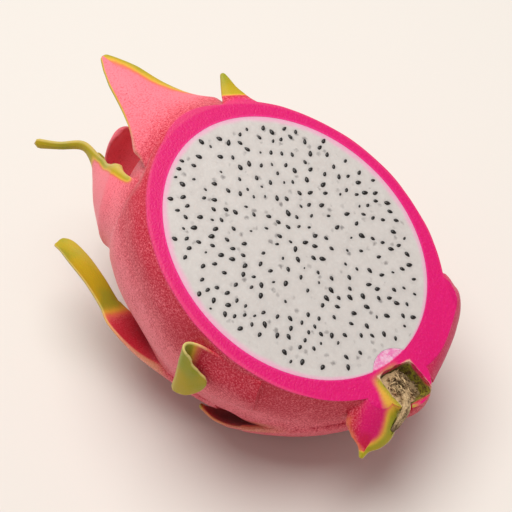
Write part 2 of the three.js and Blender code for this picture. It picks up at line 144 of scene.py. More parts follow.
BRACTS = {
    "crown_top": {
        "green": (0.95, 1.1), "margins": ((0.8, 0.8), (6.4, 0.75)), "margin_from": 0.36, "deep": 0.6,
        "dry": (0.3, 0.0),
        "spine": [
            [12, -4, 37.2, 18, 3.0, 0.026],
            [28, -4, 32.6, 26, 3.6, 0.03],
            [38, -4, 27.4, 19, 3.6, 0.034],
            [46, -5, 24, 13, 3.2, 0.036],
            [55, -6.5, 22.4, 8.6, 2.6, 0.03],
            [64, -7.5, 22.6, 5.8, 2.2, 0.015],
            [69, -7, 23.2, 3.4, 1.9, 0.01],
            [72.5, -6, 24, 0.9, 1.2, 0],
        ],
    },
    "crown_left": {
        "green": (0.56, 0.74), "margins": ((2.0, 0.6), (3.2, 0.95)), "margin_from": 0.08, "deep": 0.7,
        "dry": (0.2, 0.5), "hugs": 2.0,
        "spine": [
            [-2, 80, 37.4, 17, 3.0, 0.025],
            [14, 79, 35.6, 21, 3.2, 0.026],
            [28, 79, 31.7, 22.5, 3.0, 0.028],
            [40, 85, 24.6, 15.5, 3.0, 0.034],
            [50, 94, 19.7, 11.6, 2.8, 0.048],
            [57, 102, 14.2, 7, 2.4, 0.07],
            [62, 111, 10.8, 3.2, 2.0, 0.08],
            [68.5, 116, 9.6, 1.7, 1.6, 0.1],
            [75, 118, 14.2, 1.3, 1.4, 0.1],
            [82, 119, 18.6, 1.9, 1.5, 0.2],
        ],
    },
    "crown_inner": {
        **ALL_PINK,
        "spine": [
            [38, -150, 26, 12, 3.0, 0.03],
            [48, -152, 21, 13, 3.0, 0.04],
            [58, -156, 14, 12, 2.8, 0.05],
            [63, -172, 6, 9, 2.4, 0.06],
            [61, 20, 4, 2.4, 1.8, 0.07],
        ],
    },
    "crown_far": {
        "green": (0.7, 0.95), **HIDDEN_AT_CROWN,
        "spine": [
            [16, -108, 36, 16, 3.0, 0.025],
            [32, -109, 32.8, 15, 3.4, 0.03],
            [46, -110, 26, 10, 2.8, 0.03],
            [57, -111, 22.5, 5.5, 2.2, 0.02],
            [67, -112, 23.5, 1, 1.2, 0],
        ],
    },
    "crown_under": {
        "green": (0.65, 0.95), **HIDDEN_AT_CROWN,
        "spine": [
            [20, 172, 35, 15, 3.0, 0.025],
            [36, 172, 31, 14, 3.2, 0.03],
            [50, 172, 25, 9.5, 2.6, 0.03],
            [61, 171, 20.5, 5, 2.0, 0.02],
            [70, 170, 14, 1.2, 1.2, 0],
        ],
    },
    "left_low": {
        "twist": 50, "green": (0.28, 0.6), "margins": ((1.4, 0.6), (0.6, 0.5)), "margin_from": 0.2,
        "deep": 1.0, "dry": (0.5, 0.5),
        "spine": [
            [-14, 127, 39, 10, 3.0, 0.02],
            [2, 126, 41.6, 10, 3.4, 0.02],
            [14, 124.5, 42.6, 8, 3.0, 0.02],
            [25, 123.5, 41.8, 6, 2.4, 0.04],
            [30, 123.5, 40.6, 4.2, 2.2, 0.08],
            [38, 123.5, 38.5, 3.8, 2.0, 0.14],
            [47, 123.5, 36.9, 3.8, 1.8, 0.18],
            [53, 124, 36.2, 3.2, 1.6, 0.22],
            [56.5, 124.5, 36.8, 1.7, 1.5, 0.3],
        ],
    },
    "curl": {
        "across": (0, 0.139, -0.99), "green": (0.24, 0.5), "margins": ((1.0, 0.6), (1.0, 0.6)),
        "margin_from": 0.3, "deep": 0.5, "dry": (0.8, 0.8),
        "spine": [
            [-27, 83, 36.3, 6, 3.0, 0.024],
            [-18, 83, 39.4, 7.5, 2.6, 0.024],
            [-12.5, 83, 41.6, 8.6, 2.0, 0.02],
            [-9, 82.7, 43.8, 9.6, 1.6, 0.012],
            [-7.9, 82.6, 45.4, 9.9, 1.5, 0.008],
            [-9, 82.8, 46.7, 9.2, 1.4, 0],
            [-11.6, 83, 46.4, 7.4, 1.3, 0],
            [-14, 82.6, 45.1, 4.8, 1.2, 0],
            [-15.8, 81.8, 43.7, 1.4, 1.0, 0],
        ],
    },
    "bottom": {
        "green": (0.85, 1.05), "margins": ((0.3, 0.4), (0.3, 0.4)), "margin_from": 0.5,
        "deep": 1.0, "dry": (0.35, 0.35),
        "spine": [
            [-48, 136, 16, 8, 3.0, 0.02],
            [-38, 135.5, 28.5, 13, 3.2, 0.02],
            [-28, 135, 37.6, 14, 2.4, 0.02],
            [-20, 133, 42.6, 11, 1.8, 0.02],
            [-13, 130.5, 44.8, 5.5, 1.4, 0.015],
            [-8.8, 128.5, 45, 1.2, 1.0, 0],
        ],
    },
    "top_small": {
        "face": (-0.26, 0, 0.97), "green": (0.05, 0.4), "margins": ((1.0, 0.8), (1.0, 0.6)),
        "margin_from": 0.2, "deep": 0.0, "dry": (0.2, 0.2),
        "spine": [
            [22, -24, 28, 12, 3.0, 0],
            [29, -29.5, 31, 8.5, 2.6, 0],
            [33.5, -33, 31.6, 4.6, 2.2, 0],
            [38, -35.5, 32.6, 2.6, 1.8, 0],
            [43, -37, 34.8, 0.6, 1.1, 0],
        ],
    },
    "stem_lobe": {
        "face": STEM_FACE, "green": (0.8, 0.95), "margins": ((7.0, 1.0), (3.0, 0.34)), "margin_from": 0.12,
        "deep": 0.5, "dry": (1.0, 0.1),
        "spine": [
            [-42.5, 64, 8.5, 6, 6.0, 0],
            [-48.8, 75, 13.2, 6.2, 6.0, 0.02],
            [-51.6, 86, 16.6, 6.8, 4.6, 0.03],
            [-53.6, 93.5, 19.6, 6.5, 3.2, 0.04],
            [-54.6, 97.5, 22, 4.4, 2.4, 0.04],
            [-55.2, 99.5, 23.8, 1.7, 1.8, 0.04],
            [-56, 101.5, 26, 0.5, 1.2, 0],
        ],
    },
    "right_corner": {
        **ALL_PINK,
        "spine": [
            [-53.2, -60, 3, 4.5, 3.6, 0.02],
            [-50.2, -73, 11.6, 5.4, 4.4, 0.02],
            [-46.7, -77.5, 19.8, 5.8, 4.8, 0.01],
            [-43.8, -78.3, 25, 5.6, 4.6, 0],
            [-40.8, -77.5, 27.2, 4.2, 3.6, 0],
            [-37.5, -77, 29, 2, 2.0, 0],
        ],
    },
    "far_side": {
        "green": (0.55, 0.85), **HIDDEN_ON_BODY,
        "spine": [
            [-12, -112, 38.6, 12, 3.0, 0.02],
            [4, -112, 41, 12, 3.4, 0.02],
            [18, -112, 41.4, 8.5, 2.4, 0.01],
            [30, -113, 43, 4.5, 1.8, 0],
            [40, -114, 47, 1.1, 1.1, 0],
        ],
    },
    "far_low": {
        "green": (0.6, 0.9), **HIDDEN_ON_BODY,
        "spine": [
            [-40, -140, 24, 9, 3.0, 0.02],
            [-27, -141, 35.2, 11, 3.2, 0.02],
            [-14, -142, 41, 7.5, 2.2, 0.01],
            [-3, -142, 43.6, 1.2, 1.2, 0],
        ],
    },
}
BLADE_EDGE = 0.8
EDGE_ROUNDING = 0.45
TIP_ROUNDING = 0.03
ROOT_SHARE = 0.5
FILLET_UNDER_CUT = (-9.0, -3.0)
SKIN_RIPPLES = ((0.45, 45.0), (0.18, 140.0))

# Steps along and round the egg shapes, and across and round the flesh's cut face
SKIN_STEPS = (170, 250)
CAVITY_STEPS = (72, 144)
FACE_STEPS = 84
FLESH_STEPS = 25
FLESH_AROUND = 360
FLESH_CORE_DEPTH = 15.0
HAIRLINE = 0.04

# The key light, almost overhead, a little behind the fruit and to the left of the view
KEY_WAY = (-0.17, 0.07, 0.98)
KEY_SIZE = 0.85
KEY_DISTANCE = 0.9


def linear(red, green, blue):
    """A screen colour of 0 to 255 as the linear colour that shaders take."""
    shares = [value / 255 for value in (red, green, blue)]
    return tuple(((share + 0.055) / 1.055) ** 2.4 if share > 0.04 else share / 12.92 for share in shares)


def size_of(name, description, millimetres):
    return FloatProperty(name=name, description=description, default=millimetres * MM, unit="LENGTH")


def angle_of(name, description, degrees):
    return FloatProperty(name=name, description=description, default=math.radians(degrees), subtype="ANGLE")


def colour_of(name, description, red, green, blue):
    return FloatVectorProperty(
        name=name, description=description, default=linear(red, green, blue), subtype="COLOR", min=0, max=1,
    )


class FruitSizes(bpy.types.PropertyGroup):
    """The fruit's driving sizes"""

    half_length: size_of("Half length", "Half the fruit's length without its bracts", 52.6)
    girth: size_of("Girth", "The fruit's radius at its middle", 41.8)
    cut_height: size_of("Cut height", "Height of the knife's plane over the fruit's middle", 17.9)
    cut_lean: angle_of("Cut lean", "Angle between the knife's plane and the fruit's axis", 15.2)
    rind_at_side: size_of("Rind at the side", "Thickness of the rind round the middle", 3.0)
    rind_at_end: size_of("Rind at the ends", "Thickness of the rind at stem and crown", 6.3)
    fillet: size_of("Fillet", "Radius by which a bract's root flows into the skin", 6.0)
    seed_count: IntProperty(name="Seeds", description="Seeds that show on the cut face", default=268)
    fibre_count: IntProperty(name="Fibres", description="Loose fibres in the stalk's scar", default=90)


class FruitColours(bpy.types.PropertyGroup):
    """The fruit's colours"""

    # Also the painted light on the skin toward the crown
    coral: colour_of("Coral", "Skin where it is palest", 250, 126, 142)
    # Also the painted shade on the lower part of the skin
    crimson: colour_of("Crimson", "Skin near the knife's rim", 192, 18, 52)
    deep: colour_of("Deep red", "Inner faces of the bracts", 188, 16, 44)
    orange: colour_of("Orange", "Where a bract starts to turn green", 228, 116, 82)
    yellow: colour_of("Yellow", "Where a bract is half green", 222, 176, 58)
    green: colour_of("Green", "Bract tips", 154, 156, 34)
    ochre: colour_of("Ochre", "Riper patches of the bract tips", 186, 162, 18)
    cream: colour_of("Cream", "Thin dry edges of the bracts", 226, 206, 142)
    rim: colour_of("Rim", "The rind where it is cut", 216, 0, 108)
    # Also the painted highlight along the knife's edge on the skin
    pale_rim_and_edge_highlight: colour_of("Pale rim", "Grain and lines on the cut rind", 244, 50, 146)
    flesh: colour_of("Flesh", "Cut flesh", 203, 199, 197)
    blush: colour_of("Blush", "Flesh beside the rind", 240, 160, 200)
    seed: colour_of("Seed", "Seed coat", 16, 14, 15)
    wood: colour_of("Wood", "Dry stalk fibre", 206, 178, 136)
    # Dark fibre, also used as painted shade in the crevices between fibres, between the pit's ribs and deep
    # in the pit
    dark_fibre_and_crevice_shade: colour_of("Bark", "Crevices between the fibres", 84, 62, 34)
    moss: colour_of("Olive", "Living tissue at the pit's wall", 138, 132, 40)
    lip: colour_of("Lip", "Dried lip of the pit", 222, 184, 152)
    tissue: colour_of("Tissue", "Watery tissue between the flesh and the pit", 226, 120, 180)
    tissue_white: colour_of("Pale tissue", "Its milky streaks", 232, 190, 214)


class StageSettings(bpy.types.PropertyGroup):
    """Floor, lights and camera"""

    floor: colour_of("Floor", "The pale floor", 226, 223, 219)
    floor_size: FloatProperty(name="Floor size", description="Side of the floor", default=4.0, unit="LENGTH")
    azimuth: angle_of("Azimuth", "Camera's turn round the fruit", 42.45)
    elevation: angle_of("Elevation", "Camera's height over the horizon", 50.0)
    view_angle: angle_of("View angle", "Camera's field of view", 24.0)
    distance: size_of("Distance", "From the camera to the point it looks at", 325.2)
    key_power: FloatProperty(name="Key", description="Power of the soft key light", default=9.2, unit="POWER")
    ambient: FloatProperty(name="Ambient", description="Strength of the even light all round", default=0.37)


LOOK_AT = np.array([-0.962, -9.423, 53.771])


def to_frame(points):
    """Points of the fruit's own frame, in mm, as points of the row's frame, in metres."""
    return (BODY_CENTRE + np.asarray(points, float) @ FRUIT_AXES) * MM


def to_fruit(points):
    """Points of the row's frame, in metres, as points of the fruit's own frame, in mm."""
    return (points / MM - BODY_CENTRE) @ FRUIT_AXES.T


def full_turn(steps):
    """Angles evenly round a circle."""
    return 2 * np.pi * np.arange(steps) / steps


def around_axis(along, turn, distance):
    angle = np.radians(turn)
    return np.stack([along + 0 * angle, distance * np.sin(angle), distance * np.cos(angle)], -1)


def sizes():
    """The driving sizes in mm, as plain numbers."""
    group = bpy.context.scene.fruit_sizes
    return {
        **{name: getattr(group, name) / MM for name in ("half_length", "girth", "cut_height", "fillet")},
        "cut_lean": group.cut_lean,
        "flesh_length": (group.half_length - group.rind_at_end) / MM,
        "flesh_radius": (group.girth - group.rind_at_side) / MM,
    }


def girth_at(along, length, radius):
    share = np.clip(along / length, -1, 1)
    return radius * np.sqrt(1 - share**2) * (1 - STEM_FULLNESS * share)


def unit(vectors):
    return vectors / np.linalg.norm(vectors, axis=-1, keepdims=True)


# Closed meshes


def closed_mesh(name, first, rings, last):
    """A closed skin over rings of points in the fruit's frame, from one pole to the other."""
    rings = np.asarray(rings, float)
    count, around = rings.shape[:2]
    points = np.concatenate([[first], rings.reshape(-1, 3), [last]])
    start = 1 + np.arange(count - 1)[:, None] * around + np.arange(around)[None, :]
    beside = 1 + np.arange(count - 1)[:, None] * around + (np.arange(around)[None, :] + 1) % around
    quads = np.stack([start, beside, beside + around, start + around], -1).reshape(-1, 4).tolist()
    end = 1 + (count - 1) * around
    fans = [(0, 1 + (j + 1) % around, 1 + j) for j in range(around)]
    fans += [(len(points) - 1, end + j, end + (j + 1) % around) for j in range(around)]
    mesh = bpy.data.meshes.new(name)
    mesh.from_pydata(to_frame(points).tolist(), [], quads + fans)
    if signed_volume(mesh) < 0:
        mesh.flip_normals()
    return mesh


def signed_volume(mesh):
    shape = bmesh.new()
    shape.from_mesh(mesh)
    volume = shape.calc_volume(signed=True)
    shape.free()
    return volume


def place(name, mesh):
    obj = bpy.data.objects.new(name, mesh)
    bpy.context.scene.collection.objects.link(obj)
    return obj


def egg(name, length, radius, along_steps, around_steps):
    """An egg round the fruit's axis, between its two poles."""
    along = -length * np.cos(np.pi * np.arange(1, along_steps) / along_steps)
    turns = 360 * np.arange(around_steps) / around_steps
    rings = around_axis(along[:, None], turns[None, :], girth_at(along, length, radius)[:, None])
    return place(name, closed_mesh(name, (-length, 0, 0), rings, (length, 0, 0)))


def scoop(name, centre, radii):
    """An ellipsoid."""
    steps = 48
    angle = full_turn(steps)[1:steps // 2]
    turn = full_turn(steps)
    rings = np.stack([
        np.sin(angle)[:, None] * np.cos(turn),
        np.sin(angle)[:, None] * np.sin(turn),
        np.cos(angle)[:, None] + 0 * turn,
    ], -1)
    centre = np.array(centre)
    radii = np.array(radii)
    poles = [centre + radii * (0, 0, 1), centre - radii * (0, 0, 1)]
    return place(name, closed_mesh(name, poles[0], centre + rings * radii, poles[1]))


def cut_axes(size):
    """Lengthways, sideways and upward on the knife's plane."""
    lean = size["cut_lean"]
    return np.array([
        [math.cos(lean), 0, math.sin(lean)],
        [0, 1, 0],
        [-math.sin(lean), 0, math.cos(lean)],
    ])


def block(name, low, high, axes=None):
    """A box between two corners, in mm along the row's axes or along the given ones of the fruit's frame."""
    sides = list(zip(low, high))
    corners = np.array([[x, y, z] for x in sides[0] for y in sides[1] for z in sides[2]])
    points = corners * MM if axes is None else to_frame(corners @ axes)
    faces = [(0, 1, 3, 2), (4, 6, 7, 5), (0, 4, 5, 1), (2, 3, 7, 6), (0, 2, 6, 4), (1, 5, 7, 3)]
    mesh = bpy.data.meshes.new(name)
    mesh.from_pydata(points.tolist(), [], faces)
    if signed_volume(mesh) < 0:
        mesh.flip_normals()
    return place(name, mesh)


FAR = 150.0


def over_the_cut(size):
    low = (-FAR, -FAR, size["cut_height"])
    return block("over_the_cut", low, (FAR, FAR, FAR), cut_axes(size))


def under_the_floor():
    return block("under_the_floor", (-FAR, -FAR, -FAR), (FAR, FAR, 0))


def carve(target, operation, cutters):
    """Joins solids to the target, or cuts them from it, and removes them."""
    for cutter in cutters:
        modifier = target.modifiers.new(cutter.name, "BOOLEAN")
        modifier.operation = operation
        modifier.solver = "MANIFOLD"
        modifier.object = cutter
    evaluated = target.evaluated_get(bpy.context.evaluated_depsgraph_get())
    result = bpy.data.meshes.new_from_object(evaluated)
    if not result.polygons:
        raise RuntimeError(f"{target.name} came out empty from {operation}")
    target.modifiers.clear()
    target.data = result
    for cutter in cutters:
        bpy.data.objects.remove(cutter)


def keep_main_body(mesh):
    """Drops loose scraps, and closes pockets that the joining sealed."""
    shape = bmesh.new()
    shape.from_mesh(mesh)
    seen = set()
    islands = []
    for start in shape.verts:
        if start in seen:
            continue
        seen.add(start)
        island = [start]
        for vertex in island:
            for edge in vertex.link_edges:
                other = edge.other_vert(vertex)
                if other not in seen:
                    seen.add(other)
                    island.append(other)
        islands.append(island)
    islands.sort(key=len)
    for island in islands[:-1]:
        bmesh.ops.delete(shape, geom=island, context="VERTS")
    bmesh.ops.triangulate(shape, faces=[f for f in shape.faces if len(f.verts) > 4])
    shape.to_mesh(mesh)
    shape.free()


# Blades


def stretch_at(rows, t):
    """The stretch between two rows that share t of the whole falls on, and how far along it that is."""
    place_on = min(max(t, 0.0), 1.0) * (len(rows) - 1)
    index = min(int(place_on), len(rows) - 2)
    return index, place_on - index


def between(start, end, leave, arrive, share):
    """A point on the smooth curve from a start to an end, by the slopes that it leaves and arrives with."""
    rise = end - start
    bend = (3 * rise - 2 * leave - arrive) * share**2
    return start + leave * share + bend + (leave + arrive - 2 * rise) * share**3


def centripetal(points, t):
    """The point at share t of a centripetal curve through all the points."""
    last = len(points) - 1
    index, share = stretch_at(points, t)
    here, there = points[index], points[index + 1]
    before = points[index - 1] if index else 2 * points[0] - points[1]
    after = points[index + 2] if index + 2 <= last else 2 * points[last] - points[last - 1]
    gaps = [math.sqrt(np.linalg.norm(q - p)) for p, q in ((before, here), (here, there), (there, after))]
    leave = (here - before) / gaps[0] - (there - before) / (gaps[0] + gaps[1]) + (there - here) / gaps[1]
    arrive = (there - here) / gaps[1] - (after - here) / (gaps[1] + gaps[2]) + (after - there) / gaps[2]
    return between(here, there, leave * gaps[1], arrive * gaps[1], share)


def eased(values, t):
    """A value at share t of a smooth curve through the rows of a spine."""
    index, share = stretch_at(values, t)
    slopes = np.gradient(values)
    return between(values[index], values[index + 1], slopes[index], slopes[index + 1], share)


def blade(name, spine, face=None, twist=0.0, hinge=None, rings=72, across=28, wave=0.35):
    """A bract as rings of points, with each point's share along it, share across it, and side.

    The blade is thick in the middle and rounded at its thin edges, and it ends in a rounded tip."""
    rows = np.array(spine, float)
    route = around_axis(rows[:, 0], rows[:, 1], rows[:, 2])
    outer = np.array(face, float) if face else around_axis(0.0, rows[0, 1], 1.0)
    shares = np.sin(np.pi / 2 * np.linspace(1, -1, across + 1))
    sides = np.concatenate([np.ones(across + 1), -np.ones(across - 1)])
    shares = np.concatenate([shares, -shares[1:-1]])
    sides[0] = sides[across] = 0
    offset = Vector((sum(map(ord, name)), 0, 0))
    points, records = [], []
    for t in np.linspace(0, 1, rings + 1)[:-1]:
        middle = centripetal(route, t)
        forward = unit(centripetal(route, t + 1e-3) - centripetal(route, t - 1e-3))
        outer = unit(outer - forward * (outer @ forward))
        turned = Matrix.Rotation(-math.radians(twist) * t, 3, Vector(forward)) @ Vector(outer)
        facing = np.array(turned)
        if hinge:
            facing = unit(np.cross(forward, hinge))
        across_way = np.cross(facing, forward)
        tip = math.sqrt(max(0.0, 1 - (max(0.0, t - 1 + TIP_ROUNDING) / TIP_ROUNDING) ** 2))
        half_width = max(0.3, eased(rows[:, 3], t)) * tip
        thickness = max(BLADE_EDGE, eased(rows[:, 4], t))
        curvature = max(1e-4, eased(rows[:, 5], t))
        arc = shares * half_width
        sideways = np.sin(arc * curvature) / curvature
        drop = (1 - np.cos(arc * curvature)) / curvature
        rounding = max(0.0, 1 - EDGE_ROUNDING / max(half_width, 0.6))
        past = np.clip((np.abs(shares) - rounding) / (1 - rounding), 0, 1)
        half = (BLADE_EDGE + (thickness - BLADE_EDGE) * (1 - shares**2)) / 2 * np.sqrt(1 - past**2) * tip
        loose = min(1.0, max(0.0, 2.5 * t - 0.5))
        waves = [
            wave * loose * abs(share) * noise.noise(offset + Vector((t * 7, share * 1.5, 0)))
            for share in shares
        ]
        ring = middle + sideways[:, None] * across_way + (sides * half - drop + waves)[:, None] * facing
        points.append(ring)
        records += [(t, share, side, half_width) for share, side in zip(shares, sides)]
    first = points[0].mean(0)
    last = centripetal(route, 1.0)
    return first, np.array(points), last, [(0, 0, 0, rows[0, 3]), *records, (1, 0, 0, 0.3)]


def swell(points, outward, gap, fillet):
    """Moves points outward where another surface is near, so that two solids join in a fillet."""
    near = np.clip(fillet - np.abs(gap), 0, None)
    return points + outward * (near**2 / (4 * fillet))[:, None]


def height_over_egg(points, length, radius):
    """Rough distance of points from an egg's surface, positive outside."""
    along = points[:, 0]
    reach = np.hypot(points[:, 1], points[:, 2])
    scaled = np.sqrt((along / length) ** 2 + (reach / radius) ** 2)
    return (scaled - 1) * (np.hypot(along, reach) / np.maximum(scaled, 1e-6))


def mesh_vectors(mesh, kind):
    """A mesh's points, kind "co", or its normals, kind "normal"."""
    vectors = np.zeros(len(mesh.vertices) * 3)
    mesh.vertices.foreach_get(kind, vectors)
    return vectors.reshape(-1, 3)


def set_points(mesh, points):
    mesh.vertices.foreach_set("co", np.asarray(points, float).ravel())
    mesh.update()


def height_over_cut(points, size):
    return points @ cut_axes(size)[2] - size["cut_height"]


def clear_of_cut(points, size):
    """1 well under the knife's plane, and 0 beside it, where no fillet grows."""
    return 1 - smooth_step(*FILLET_UNDER_CUT, height_over_cut(points, size))


def body_and_blades(size):
    """The whole fruit's body and its blades, flowed into each other, before the knife.

    A fillet grows only where a blade leaves the skin, and fades toward the knife's edge."""
    length, radius, fillet = size["half_length"], size["girth"], size["fillet"]
    blades = []
    samples = []
    root_points, root_faces, root_heights = [], [], []
    for name, shape in BRACTS.items():
        first, rings, last, records = blade(
            name, shape["spine"], shape.get("face"), shape.get("twist", 0), shape.get("across"),
        )
        mesh = closed_mesh(name, first, rings, last)
        local = np.concatenate([[first], rings.reshape(-1, 3), [last]])
        share = np.array([record[0] for record in records])
        height = height_over_egg(local, length, radius)
        over_body = height + np.where(height > -4, recess(local, size)[1], 0)
        gap = np.where((share > ROOT_SHARE) | (height < -fillet / 3), fillet, height)
        fade = smooth_step(-fillet / 3, 0, height) * clear_of_cut(local, size)
        outward = mesh_vectors(mesh, "normal") * MM * fade[:, None]
        points = swell(mesh_vectors(mesh, "co"), outward, gap, fillet)
        for polygon in mesh.polygons:
            if max(share[i] for i in polygon.vertices) < ROOT_SHARE:
                root_faces.append([i + len(root_points) for i in polygon.vertices])
                root_heights.append(height[polygon.vertices[0]])
        root_points += mesh_vectors(mesh, "co").tolist()
        set_points(mesh, points)
        blades.append(place(name, mesh))
        samples += [(point, name, *record, over) for point, record, over in zip(points, records, over_body)]
    roots = bvhtree.BVHTree.FromPolygons(root_points, root_faces)
    body = egg("dragon_fruit_rind", length, radius, *SKIN_STEPS)
    draw_in_crown(body.data, size)
    points = mesh_vectors(body.data, "co")
    normals = mesh_vectors(body.data, "normal")
    nearest = [roots.find_nearest(point) for point in points]
    gaps = np.array([found[3] / MM for found in nearest])
    emerging = smooth_step(-1.0, 1.0, np.array([root_heights[found[2]] for found in nearest]))
    local = to_fruit(points)
    fade = emerging * clear_of_cut(local, size)
    ripple = sum(
        height * np.array([noise.noise(Vector(point) * times) for point in points])
        for height, times in SKIN_RIPPLES
    )
    points = swell(points + normals * (ripple * MM)[:, None], normals * MM * fade[:, None], gaps, fillet)
    set_points(body.data, points)
    return body, blades, samples


def recess(local, size):
    """How far along and toward the axis each point of the crown half is lowered, away from the knife."""
    along, reach = local[:, 0], np.hypot(local[:, 1], local[:, 2])
    inner_length = size["flesh_length"] + RECESS_SKIN
    inner = girth_at(along, inner_length, size["flesh_radius"] + RECESS_SKIN)
    over = height_over_cut(local, size)
    amount = smooth_step(RECESS_FROM, RECESS_TO, along) * (1 - smooth_step(*RECESS_UNDER_CUT, over))
    slimmer = SLIMMER_BY * smooth_step(0, SLIMMER_TO, along) * (1 - smooth_step(*SLIMMER_UNDER_CUT, over))
    return amount * np.maximum(along - inner_length, 0), np.maximum(amount * (reach - inner), slimmer)


def draw_in_crown(mesh, size):
    """Lowers the body under the crown's bracts, so that they stand round a hollow."""
    local = to_fruit(mesh_vectors(mesh, "co"))
    reach = np.hypot(local[:, 1], local[:, 2])
    back, inward = recess(local, size)
    wanted = reach - inward
    local[:, 0] -= back
    local[:, 1:] *= (wanted / np.maximum(reach, 1e-6))[:, None]
    set_points(mesh, to_frame(local))


def four_cornered(name, size, floor_depth, clearance=0.0, top=10.0):
    """The stalk's pit: a funnel with four soft corners, sunk into the knife's plane."""
    slope = (1 - PIT_FLOOR_SHARE) / PIT_DEPTH
    turn = full_turn(64)
    softness = 1.25
    diamond = (np.abs(np.cos(turn)) ** softness + np.abs(np.sin(turn)) ** softness) ** (-1 / softness)
    rings = []
    for depth in np.linspace(-floor_depth, top, 40):
        share = PIT_FLOOR_SHARE + slope * (depth + PIT_DEPTH)
        rough = np.array([
            1 + 0.06 * noise.noise(Vector((2.6 * math.cos(a), 2.6 * math.sin(a), depth * 0.25))) for a in turn
        ])
        rings.append(np.stack([
            (PIT_HALVES[0] - clearance) * share * diamond * rough * np.cos(turn),
            (PIT_HALVES[1] - clearance) * share * diamond * rough * np.sin(turn),
            depth + 0 * turn,
        ], -1))
    rings = pit_frame(np.array(rings), size)
    return place(name, closed_mesh(name, rings[0].mean(0), rings, rings[-1].mean(0)))


def pit_frame(points, size):
    """Points given round the pit's mouth, with z up from the knife's plane, in the fruit's frame."""
    axes = cut_axes(size)
    along, side = PIT_MIDDLE
    height = (size["cut_height"] + along * math.sin(size["cut_lean"])) / math.cos(size["cut_lean"])
    turned = Matrix.Rotation(PIT_TURN, 3, "Z")
    return points @ np.array(turned).T @ axes + (along, side, height)


def shade(obj, material, sharp_over=50):
    obj.data.shade_smooth()
    obj.data.set_sharp_from_angle(angle=math.radians(sharp_over))
    obj.data.materials.clear()
    obj.data.materials.append(material)


def write_attribute(mesh, name, values):
    attribute = mesh.attributes.new(name, "FLOAT", "POINT")
    attribute.data.foreach_set("value", np.asarray(values, float))


def smooth_step(low, high, value):
    share = np.clip((value - low) / (high - low), 0, 1)
    return share * share * (3 - 2 * share)


def paint_bracts(mesh, samples):
    """Writes how green, how dry, how deep red and how flushed with the rim's magenta each vertex is."""
    tree = kdtree.KDTree(len(samples))
    for index, sample in enumerate(samples):
        tree.insert(Vector(sample[0]), index)
    tree.balance()
    layers = {"green": [], "dry": [], "deep": [], "flush": []}
    for vertex in mesh.vertices:
        _, index, distance = tree.find(vertex.co)
        _, name, t, share, side, half_width, height = samples[index]
        shape = BRACTS[name]
        on_blade = 1 - smooth_step(0.9 * MM, 2.2 * MM, distance)
        free = on_blade * smooth_step(0.6, 2.4, height + shape.get("hugs", 0))
        start, full = shape["green"]
        from_edge = half_width * (1 - abs(share))
        width, tone = shape["margins"][0 if share > 0 else 1]
        banded = tone * (1 - smooth_step(0, width, from_edge)) * smooth_step(0, 0.2, t - shape["margin_from"])
        layers["green"].append(free * max(smooth_step(start, full, t), banded))
        dryness = shape["dry"][0 if share > 0 else 1]
        layers["dry"].append(free * dryness * (1 - smooth_step(0.1, 0.6, from_edge)))
        redder = free * shape["deep"] * (side < 0) * smooth_step(0.05, 0.25, t)
        flushed = 0.0
        if name == "stem_lobe":
            patch = math.hypot((t - 0.66) / 0.2, (share + 0.2) / 0.55)
            redder = 0.7 * on_blade * (1 - smooth_step(0.35, 1.0, patch))
            flushed = on_blade * (1 - smooth_step(0.35, 0.8, abs(share))) * (1 - smooth_step(0.6, 0.85, t))
        if name == "right_corner":
            flushed = 0.55 * on_blade
        layers["deep"].append(redder)
        layers["flush"].append(flushed)
    for layer, values in layers.items():
        write_attribute(mesh, layer, values)


# Materials


class Wire:
    """A socket's value, on which sums are written as plain expressions."""

    def __init__(self, board, socket):
        self.board = board
        self.socket = socket

    def __add__(self, other):
        return self.board.sum_of("ADD", self, other)

    def __sub__(self, other):
        return self.board.sum_of("SUBTRACT", self, other)

    def __rsub__(self, other):
        return self.board.sum_of("SUBTRACT", other, self)

    def __mul__(self, other):
        return self.board.sum_of("MULTIPLY", self, other)

    def __truediv__(self, other):
        return self.board.sum_of("DIVIDE", self, other)

    __radd__ = __add__
    __rmul__ = __mul__


